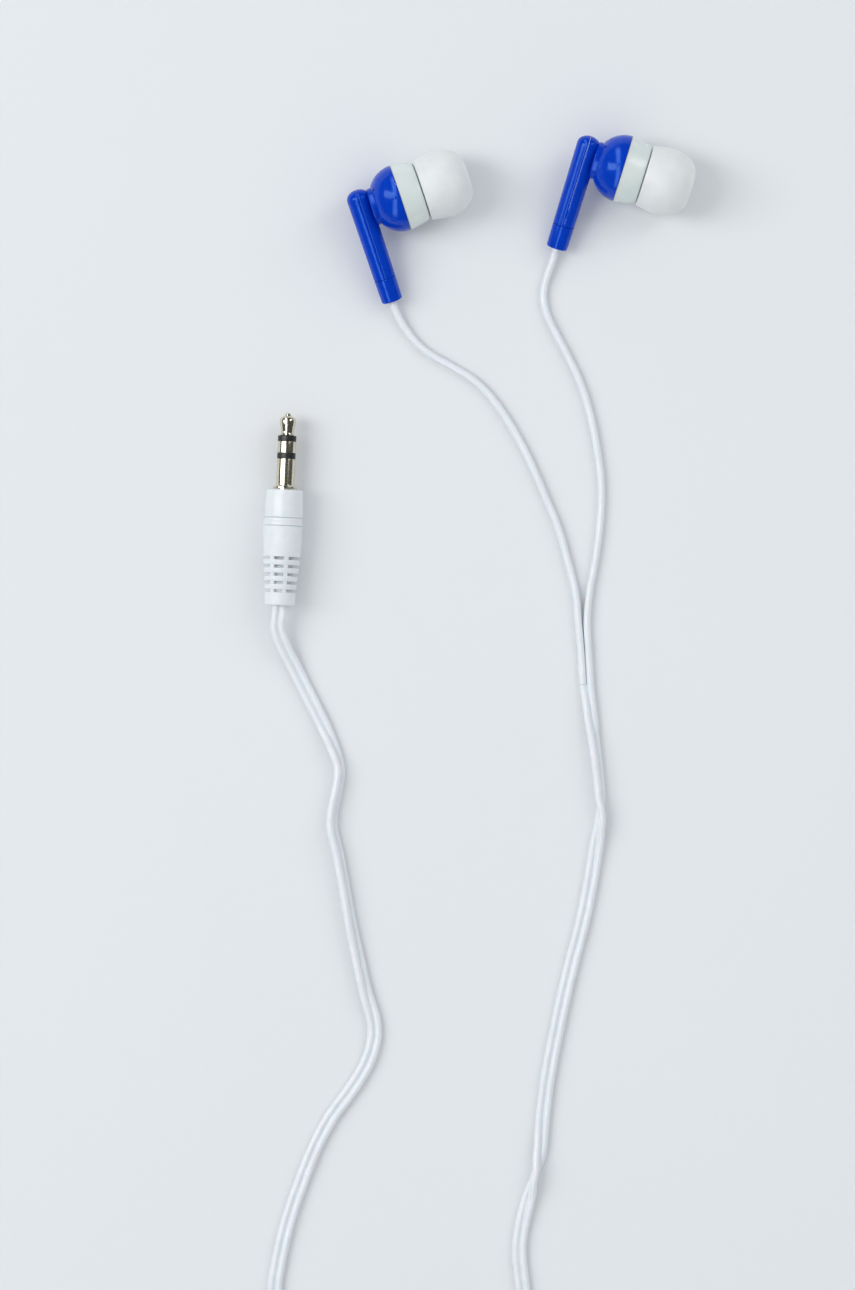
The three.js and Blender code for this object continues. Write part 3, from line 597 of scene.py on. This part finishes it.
def make_twin():
    upper = relaxed(centripetal(on_table(UPPER_ROUTE), 0.7), 3)
    coil = coil_route()
    lower_points = [*boot_exit()[::-1], *on_table(LOWER_ROUTE)]
    lower = relaxed(centripetal(lower_points, 0.7), 3)
    joined = [*upper, *coil, *lower[::-1]]
    blend_in = slice(len(upper) - 12, len(upper) + 12)
    joined[blend_in] = relaxed(joined[blend_in], 30)
    turn_out = len(upper) + len(coil)
    blend_out = slice(turn_out - 12, turn_out + 12)
    joined[blend_out] = relaxed(joined[blend_out], 30)
    from_split = lengths(joined)
    from_plug = [from_split[-1] - at for at in from_split]
    rolls = [math.radians(eased(UPPER_ROLL, a) - eased(LOWER_ROLL, b)) for a, b in zip(from_split, from_plug)]
    centres = []
    for i, (centre, roll) in enumerate(zip(joined, rolls)):
        stands = STRAND * abs(math.sin(roll)) * min(1.0, from_plug[i] / 40)
        centres.append(centre + UP * stands)
    cord = swept("cord_twin", centres, twin_sections(centres, rolls))
    dress(cord, "cord_skin", "cord_twin_upper", "cord_twin_lower", "cord_coil")
    make_plug()
    make_tie()
    return cord


# ------------------------------------------------------------------ plug


def jack_tip_outline():
    nose = [(0, 0), (0.02, 0.28), (0.12, 0.47), (0.3, 0.58), (0.55, 0.68)]
    nose += [(0.68, 0.95), (0.86, 1.28), (1.1, 1.46), (1.4, 1.54), (1.8, 1.55)]
    waist = [(2.3, 1.48), (2.9, 1.36), (3.4, 1.25), (3.75, 1.2), (4.0, 1.24), (4.2, 1.33)]
    return [*nose, *waist, (4.28, 1.3), (4.28, 0.4), (17.5, 0.4), (17.5, 0)]


def contact_outline(start, end, bore, tail):
    edge = 0.06
    radius = JACK["radius"]
    face = [(start, bore), (start, radius, edge), (end, radius, edge)]
    return rounded([*face, (end, bore + 0.2), (tail, bore + 0.2), (tail, bore)])


def sleeve_outline():
    shoulder, back = JACK["shoulder"], JACK["flange_end"]
    return rounded([
        (8.72, 1.5), (8.72, JACK["radius"], 0.08),
        (shoulder - 0.25, JACK["radius"], 0.1), (shoulder, 1.95, 0.1),
        (shoulder, JACK["flange"], 0.12), (back, JACK["flange"], 0.12), (back, 1.7), (14.9, 1.7), (14.9, 1.5),
    ])


def shell_outline():
    front, back = PLUG_SIZES["shell"], PLUG_SIZES["band"] - 0.16
    return rounded([
        (front, 1.9), (front, 3.5, 0.6),
        (back - 0.3, 3.62, 0.1), (back - 0.08, 3.58, 0.06), (back, 3.5), (back, 2.5),
        (front + 1, 2.5), (front + 1, 1.9),
    ])


def band_outline():
    front, back = PLUG_SIZES["band"] - 0.12, PLUG_SIZES["boot"] - 0.04
    groove = front + 0.72
    return rounded([
        (front, 2.5), (front, 3.52), (front + 0.08, 3.63, 0.06),
        (groove - 0.1, 3.65, 0.05), (groove, 3.6, 0.05),
        (groove + 0.1, 3.66, 0.05), (back - 0.06, 3.68, 0.05), (back, 3.6), (back, 2.5),
    ])


SLOT = {"rows": 5, "pitch": 1.55, "height": 0.52, "core": 2.15, "wall": 0.03}
SLOT.update(rib=24, rib_half=7.0, roll=7)
BOOT = {"front": 3.7, "body_end": 3.55, "end": 2.82, "hole_wide": 1.5, "hole_high": 0.82}


def in_slot(angle):
    """True at the angles about the plug, from straight up, that hold no rib."""
    around = (math.degrees(angle) - 90 - SLOT["roll"] + 90) % 180 - 90
    return abs(abs(around) - SLOT["rib"]) > SLOT["rib_half"]


def boot_radius(x):
    """Outer radius of the boot where it isn't slotted; the rings between the slots are a little crowned."""
    relief, rings = PLUG_SIZES["relief"], PLUG_SIZES["rings"]
    if x <= relief:
        t = (x - PLUG_SIZES["boot"]) / (relief - PLUG_SIZES["boot"])
        return BOOT["front"] + (BOOT["body_end"] - BOOT["front"]) * t
    t = (x - relief) / (rings - relief)
    return BOOT["body_end"] + (BOOT["end"] - BOOT["body_end"]) * min(1.0, t)


def boot_outline():
    front, end = PLUG_SIZES["boot"], PLUG_SIZES["end"]
    first = PLUG_SIZES["relief"] + SLOT["pitch"] / 2
    outer = [(front, 2.4), (front, 3.6), (front + 0.06, BOOT["front"])]
    outer += [(front + k, boot_radius(front + k)) for k in (1.5, 3.0, 4.4)]
    for row in range(SLOT["rows"]):
        start = first + row * SLOT["pitch"]
        stop = start + SLOT["height"]
        outer.append((start - 0.1, boot_radius(start)))
        outer += [(start - SLOT["wall"], boot_radius(start) - 0.05), (start, SLOT["core"])]
        outer += [(stop, SLOT["core"]), (stop + SLOT["wall"], boot_radius(stop) - 0.05)]
        outer.append((stop + 0.12, boot_radius(stop) + 0.02))
        middle_of_ring = stop + (SLOT["pitch"] - SLOT["height"]) / 2
        outer.append((middle_of_ring, boot_radius(middle_of_ring) + 0.05))
    lip = [(end - 0.9, BOOT["end"] + 0.05), (end - 0.02, BOOT["end"], 0.34), (end, 1.9, 0.1)]
    lip = rounded([*lip, (end - 0.12, 1.55)], closed=False)
    return [*outer, *lip, (end - 0.3, 1.0), (front + 4, 1.0), (front + 4, 2.4)]


def boot_shape(x, r, angle):
    if r == SLOT["core"] and not in_slot(angle):
        return boot_radius(x)
    if r <= 1.56:
        wide, high = BOOT["hole_wide"], BOOT["hole_high"]
        hole = wide * high / math.hypot(high * math.cos(angle), wide * math.sin(angle))
        return hole * (1.0 if r <= 1.0 else 1.06)
    return r


def make_plug():
    parts = [
        ("plug_jack_tip", jack_tip_outline(), "jack_metal", "jack_tip"),
        ("plug_jack_ring", contact_outline(5.42, 7.58, 0.9, 15.9), "jack_metal", "jack_ring"),
        ("plug_jack_sleeve", sleeve_outline(), "jack_metal", "jack_sleeve"),
        ("plug_insulator_front", contact_outline(4.32, 5.38, 0.55, 16.7),
         "black_plastic", "jack_insulator_front"),
        ("plug_insulator_rear", contact_outline(7.62, 8.68, 1.25, 15.2),
         "black_plastic", "jack_insulator_rear"),
        ("plug_front_shell", shell_outline(), "white_plastic", "plug_shell"),
        ("plug_middle_band", band_outline(), "white_plastic", "plug_band"),
    ]
    made = [dress(turned(name, outline, PLUG), slot_name, node) for name, outline, slot_name, node in parts]
    boot = turned("plug_strain_relief", boot_outline(), PLUG, segments=180, degrees=28, shape=boot_shape)
    return [*made, dress(boot, "soft_white", "plug_boot")]


# ------------------------------------------------------------------ tie round the coil

TIE = {"width": 4.0, "thick": 0.5, "half": 3.25, "height": 6.7, "corner": 0.8, "inset": 0.06}


def tie_loop(inset, height):
    """A round-cornered loop in the plane across the coil's turns: distance out, height."""
    half, corner = TIE["half"] + TIE["thick"] - inset, TIE["corner"] - min(inset, TIE["corner"] - 0.25)
    loop = []
    corners = [(half - corner, inset + corner, -90), (half - corner, height - inset - corner, 0),
               (corner - half, height - inset - corner, 90), (corner - half, inset + corner, 180)]
    for x, z, start in corners:
        for k in range(7):
            angle = math.radians(start + 15 * k)
            loop.append((x + corner * math.cos(angle), z + corner * math.sin(angle)))
    return loop


def make_tie():
    way = -math.radians(COIL["tie_angle"])
    out = Vector((math.cos(way), math.sin(way), 0))
    along = Vector((-out.y, out.x, 0))
    centre = Vector((COIL["x"], COIL["y"], 0)) + out * COIL["radius"]
    half, soft = TIE["width"] / 2, TIE["inset"] * 2
    profile = [(-half, soft), (soft - half, 0), (half - soft, 0), (half, soft), (half, TIE["thick"] - soft),
               (half - soft, TIE["thick"]), (soft - half, TIE["thick"]), (-half, TIE["thick"] - soft)]
    rings = [tie_loop(inset, TIE["height"]) for _, inset in profile]
    count = len(rings[0])
    verts = []
    for k in range(count):
        for (across, _), ring in zip(profile, rings):
            x, z = ring[k]
            verts.append((centre + out * x + along * across + UP * z) * MM)
    size = len(profile)
    faces = []
    for k in range(count):
        n = (k + 1) % count
        for j in range(size):
            m = (j + 1) % size
            faces.append((k * size + j, k * size + m, n * size + m, n * size + j))
    return dress(mesh_from("coil_strap", verts, faces), "tie", "coil_tie")


# ------------------------------------------------------------------ earbuds


def dome_radius(x):
    return DOME["rim"] * math.sqrt(max(0.0, 1 - (x / DOME["axial"]) ** 2))


def dome_outline():
    back = -(STEM["axis"] - STEM["top_radius"] + NECK["overlap"])
    floor = -(DOME["depth"] - 0.9)
    edge = DOME["edge"]
    steps = 22
    depths = [DOME["depth"] * k / steps for k in range(1, steps + 1)]
    outer = [(-depth, dome_radius(depth)) for depth in depths]
    lip = rounded([(0, DOME["rim"] - DOME["wall"]), (0, DOME["rim"], edge), outer[0]], closed=False)
    step = [(-DOME["depth"] - 0.06, outer[-1][1] - 0.08), (-DOME["depth"] - 0.08, NECK["radius"] + 0.12),
            (-DOME["depth"] - 0.16, NECK["radius"]), (back + 0.25, NECK["radius"] - 0.06),
            (back, NECK["radius"] - 0.35), (back, 0)]
    inner = [(floor * k / 8, dome_radius(floor * k / 8) - DOME["wall"]) for k in range(8, 0, -1)]
    return [(floor, 0), *inner, *lip, *outer[1:], *step]


def cut_hole(obj, matrix, radius, depth):
    """Sinks a round hole along local X from the matrix's origin."""
    tool = turned("tool", [(-depth, 0), (-depth, radius), (depth, radius), (depth, 0)], matrix, segments=24)
    modifier = obj.modifiers.new("hole", "BOOLEAN")
    modifier.object = tool
    modifier.operation = "DIFFERENCE"
    modifier.solver = "EXACT"
    bpy.context.view_layer.update()
    result = bpy.data.meshes.new_from_object(obj.evaluated_get(bpy.context.evaluated_depsgraph_get()))
    obj.modifiers.clear()
    obj.data = result
    bpy.data.objects.remove(tool)
    return smooth(obj)


VENT = {"depth": 3.9, "height": 3.3, "side": 2.6, "radius": 0.3}
PIP = {"around": 78, "depth": 1.15, "radius": 0.42, "rise": 0.1}


def make_dome(side):
    matrix = EARBUD[side]
    dome = turned(f"{side}_dome", dome_outline(), matrix, segments=128, degrees=30)
    vent = matrix @ Matrix.Translation((-VENT["depth"], VENT["height"], VENT["side"]))
    return cut_hole(dome, vent, VENT["radius"], 1.4)


def stem_radius(down):
    """Radius of the stem at a distance down from the nozzle's axis, with its domed top."""
    top = -STEM["top"]
    t = (down + STEM["top"]) / (STEM["halves"] + STEM["top"])
    radius = STEM["top_radius"] + (STEM["bottom_radius"] - STEM["top_radius"]) * t
    if down < top + STEM["round"]:
        u = 1 - (down - top) / STEM["round"]
        radius *= math.sqrt(max(0.0, 1 - u ** 2.3))
    return radius


def stem_section(radius, bore, way):
    """Half of a ring, closed on the parting plane, with a fine groove where the halves meet."""
    groove, spread = 0.07, 0.09
    count = 40
    points = []
    for k in range(count + 1):
        angle = math.pi * k / count
        edge = min(angle, math.pi - angle) * radius
        r = max(0.01, radius - groove * math.exp(-(edge / spread) ** 2))
        points.append((r * math.sin(angle), r * math.cos(angle)))
    for k in range(13):
        angle = math.pi * (1 - k / 12)
        points.append((bore * math.sin(angle), bore * math.cos(angle)))
    seam = STEM["seam"] / 2
    return [(way * max(seam, forward), z) for forward, z in points]


def stem_frame(side):
    return EARBUD[side] @ Matrix.Translation((-STEM["axis"], 0, 0)) @ Matrix.Rotation(-math.pi / 2, 4, "Z")


def stem_levels():
    top, bottom = -STEM["top"], STEM["halves"]
    dome = [top + 0.004 + STEM["round"] * (k / 14) ** 2 for k in range(15)]
    body = [dome[-1] + (bottom - 0.06 - dome[-1]) * k / 30 for k in range(1, 31)]
    return [*dome, *body, bottom]


def make_stem_half(side, name, way):
    frame_here = stem_frame(side)
    centres, sections = [], []
    for down in stem_levels():
        radius = max(0.03, stem_radius(down)) - (0.05 if down == STEM["halves"] else 0)
        bore = STEM["bore"] if down > -2.4 else 0.004
        bore = min(bore, radius / 2)
        centres.append(down)
        sections.append([frame_here @ Vector((down, y, z)) for y, z in stem_section(radius, bore, way)])
    return swept(name, centres, sections, degrees=30)


def collar_outline():
    start = STEM["halves"] + 0.07
    end = STEM["halves"] + COLLAR["gap"] + COLLAR["length"]
    return rounded([
        (start, COLLAR["bore"]), (start, STEM["bottom_radius"] - 0.06), (start + 0.06, STEM["bottom_radius"]),
        (end, COLLAR["end_radius"], COLLAR["round"]), (end, 1.15, 0.08),
        (end - 0.15, 0.9), (end - 0.15, COLLAR["bore"] - 0.1),
    ])


def joined(name, parts):
    """Puts several closed meshes in one object."""
    work = bmesh.new()
    for part in parts:
        work.from_mesh(part.data)
        bpy.data.objects.remove(part)
    mesh = bpy.data.meshes.new(name)
    work.to_mesh(mesh)
    work.free()
    return smooth(make_object(name, mesh), 30)


def make_pip(side):
    """A small raised dot by the rim, where a thumb finds the side."""
    angle = math.radians(PIP["around"])
    x = -PIP["depth"]
    radius = dome_radius(x)
    place = Vector((x, radius * math.cos(angle), radius * math.sin(angle)))
    axial, rim = DOME["axial"] ** 2, DOME["rim"] ** 2
    out = Vector((place.x / axial, place.y / rim, place.z / rim)).normalized()
    turn = Vector((1, 0, 0)).rotation_difference(out).to_matrix().to_4x4()
    rise = PIP["rise"]
    dot = PIP["radius"]
    outline = [(-0.3, 0), (-0.3, dot), (rise * 0.4, dot * 0.93), (rise * 0.8, dot * 0.7),
               (rise, dot * 0.35), (rise, 0)]
    return turned("pip", outline, EARBUD[side] @ Matrix.Translation(place) @ turn, segments=32)


def make_rear(side):
    front_half = make_stem_half(side, "half", 1)
    rear = joined(f"{side}_rear_body", [make_dome(side), front_half, make_pip(side)])
    dress(rear, "blue_plastic", f"{side}_rear_shell")
    dress(make_stem_half(side, f"{side}_stem_back", -1), "blue_plastic", f"{side}_stem_cover")
    collar = turned(f"{side}_collar", collar_outline(), stem_frame(side), segments=72)
    dress(collar, "blue_plastic", f"{side}_stem_collar")


def front_outline():
    depth, rim = FRONT["depth"], DOME["rim"]
    end = depth + NOZZLE["length"]
    steps = 12
    wall = []
    for k in range(steps + 1):
        t = k / steps
        x = 0.1 + (depth - FRONT["edge"] - 0.1) * t
        wall.append((x, rim - 0.02 + (FRONT["end_radius"] - rim) * t ** 1.25))
    return rounded([
        (-FRONT["lip"], 4.95), (-FRONT["lip"], 5.25, 0.05), (0.1, 5.25), (0.04, rim - 0.14), *wall[0:1],
        *wall[1:], (depth - 0.15, FRONT["end_radius"] - 0.22, 0.2), (depth, FRONT["end_radius"] - 0.7, 0.2),
        (depth, NOZZLE["radius"], 0.15), (end - 1.5, NOZZLE["radius"]),
        (end - 1.2, NOZZLE["radius"] + NOZZLE["barb"], 0.1),
        (end - 0.6, NOZZLE["radius"]), (end, NOZZLE["radius"], 0.15), (end, 2.0, 0.05), (end - 0.6, 2.0),
        (end - 0.6, NOZZLE["bore"]), (depth - 0.6, NOZZLE["bore"]), (depth - 0.6, 3.6), (depth - 0.9, 3.6),
        (depth - 0.9, 4.95),
    ])


def tip_outer(inset):
    start, length = TIP["start"] - TIP["gap"], TIP["length"] + TIP["gap"]
    widest = start + length * 0.46
    points = []
    for k in range(25):
        angle = math.pi / 2 * k / 24
        bulge = 1.0
        reach = (start + length - widest - inset) * math.cos(angle) ** bulge
        rise = (TIP["radius"] - inset - TIP["front"]) * math.sin(angle) ** bulge
        points.append((widest + reach, TIP["front"] + rise))
    for k in range(1, 11):
        t = k / 10
        swell = math.cos(t * math.pi / 2)
        radius = TIP["skirt"] + (TIP["radius"] - TIP["skirt"]) * swell
        points.append((widest + (start - widest) * t, radius - inset))
    return points


def tip_outline():
    start, end = TIP["start"] - TIP["gap"], TIP["start"] + TIP["length"]
    sleeve_end = FRONT["depth"] + NOZZLE["length"] + 0.3
    outer = tip_outer(0)
    inner = [p for p in reversed(tip_outer(TIP["wall"])) if p[1] > TIP["sleeve_out"] + 0.15]
    skirt, bore = TIP["skirt"], TIP["bore"]
    edge = [(start + 0.04, skirt - 0.1), (start, skirt - 0.3), (start + 0.04, skirt - 0.5)]
    mouth = [(sleeve_end, bore), (end - 0.5, bore), (end, bore + 0.02, 0.35), (end, TIP["front"])]
    mouth = rounded(mouth, closed=False)
    root = inner[-1][0]
    outside, inside = TIP["sleeve_out"], TIP["sleeve_in"]
    sleeve = [(root + 0.25, outside + 0.05), (root, outside), (start, outside, 0.2),
              (start, inside, 0.2), (sleeve_end, inside)]
    sleeve = rounded(sleeve, closed=False)
    return [*mouth, *outer[1:], *edge, *inner[1:], *sleeve]


def make_front(side):
    matrix = EARBUD[side]
    housing = turned(f"{side}_front_cup", front_outline(), matrix, segments=128, degrees=30)
    dress(housing, "pearl_plastic", f"{side}_front_housing")
    tip = turned(f"{side}_silicone_tip", tip_outline(), matrix, segments=128, degrees=50)
    dress(tip, "silicone", f"{side}_ear_tip", body=f"{side}_tip")


for each in SIDES:
    make_rear(each)
    make_front(each)

make_branch("left", LEFT_ROUTE)
make_branch("right", RIGHT_ROUTE)
make_twin()

# ------------------------------------------------------------------ floor and light

FLOOR_MIDDLE = (0.745, 0.765, 0.785)


def make_floor():
    size = 4.0
    mesh = bpy.data.meshes.new("floor")
    half = size / 2
    corners = [(-half, -half, 0), (half, -half, 0), (half, half, 0), (-half, half, 0)]
    mesh.from_pydata(corners, [], [(0, 1, 2, 3)])
    material, tree, shader = principled("floor", FLOOR_MIDDLE, 0.75)
    vary_color(tree, shader, FLOOR_MIDDLE, 3.5, 0.012)
    make_object("floor", mesh, material)


def area_light(name, place, target, size, energy, color=(1, 1, 1)):
    data = bpy.data.lights.new(name, "AREA")
    data.shape = "RECTANGLE"
    data.size, data.size_y = size
    data.energy = energy
    data.color = color
    lamp = bpy.data.objects.new(name, data)
    lamp.location = place
    lamp.rotation_mode = "QUATERNION"
    lamp.rotation_quaternion = (Vector(target) - Vector(place)).to_track_quat("-Z", "Y")
    bpy.context.scene.collection.objects.link(lamp)


WORLD = {"even": 0.68, "dim": 0.08, "strip": 5.5, "strip_at": -0.34, "strip_half": 0.09}


def band(tree, value, centre, half):
    """One near the centre, fading to nothing past the half width."""
    away = add(tree, "ShaderNodeMath", operation="SUBTRACT")
    away.inputs[1].default_value = centre
    tree.links.new(value, away.inputs[0])
    size = add(tree, "ShaderNodeMath", operation="ABSOLUTE")
    tree.links.new(away.outputs["Value"], size.inputs[0])
    fade = add(tree, "ShaderNodeMapRange")
    fade.inputs["From Min"].default_value = half
    fade.inputs["From Max"].default_value = half * 1.6
    fade.inputs["To Min"].default_value = 1.0
    fade.inputs["To Max"].default_value = 0.0
    tree.links.new(size.outputs["Value"], fade.inputs["Value"])
    return fade.outputs["Result"]


def make_world():
    """Even light for matt surfaces; reflections see a dim room with one long bright strip overhead."""
    world = bpy.data.worlds.new("studio")
    world.use_nodes = True
    tree = world.node_tree
    even = tree.nodes["Background"]
    even.inputs["Color"].default_value = (0.95, 0.975, 1.0, 1)
    even.inputs["Strength"].default_value = WORLD["even"]
    room = add(tree, "ShaderNodeBackground")
    room.inputs["Color"].default_value = (0.95, 0.97, 1.0, 1)
    place = add(tree, "ShaderNodeTexCoord")
    axes = add(tree, "ShaderNodeSeparateXYZ")
    tree.links.new(place.outputs["Generated"], axes.inputs["Vector"])
    strip = band(tree, axes.outputs["X"], WORLD["strip_at"], WORLD["strip_half"])
    upward = band(tree, axes.outputs["Z"], 1.0, 0.55)
    bright = add(tree, "ShaderNodeMath", operation="MULTIPLY")
    tree.links.new(strip, bright.inputs[0])
    tree.links.new(upward, bright.inputs[1])
    level = add(tree, "ShaderNodeMapRange")
    level.inputs["To Min"].default_value = WORLD["dim"]
    level.inputs["To Max"].default_value = WORLD["strip"]
    tree.links.new(bright.outputs["Value"], level.inputs["Value"])
    tree.links.new(level.outputs["Result"], room.inputs["Strength"])
    rays = add(tree, "ShaderNodeLightPath")
    mix = add(tree, "ShaderNodeMixShader")
    tree.links.new(rays.outputs["Is Glossy Ray"], mix.inputs["Fac"])
    tree.links.new(even.outputs["Background"], mix.inputs[1])
    tree.links.new(room.outputs["Background"], mix.inputs[2])
    tree.links.new(mix.outputs["Shader"], tree.nodes["World Output"].inputs["Surface"])
    bpy.context.scene.world = world


make_floor()
make_world()
middle_low = Vector((VIEW_MIDDLE.x, VIEW_MIDDLE.y, 0))
area_light("softbox_left", (-0.95, 0.1, 0.95), middle_low, (0.5, 0.9), 7.5)
area_light("softbox_right", (0.85, 0.5, 0.85), middle_low, (0.4, 0.9), 3.0)
bpy.context.scene.view_settings.view_transform = "Standard"
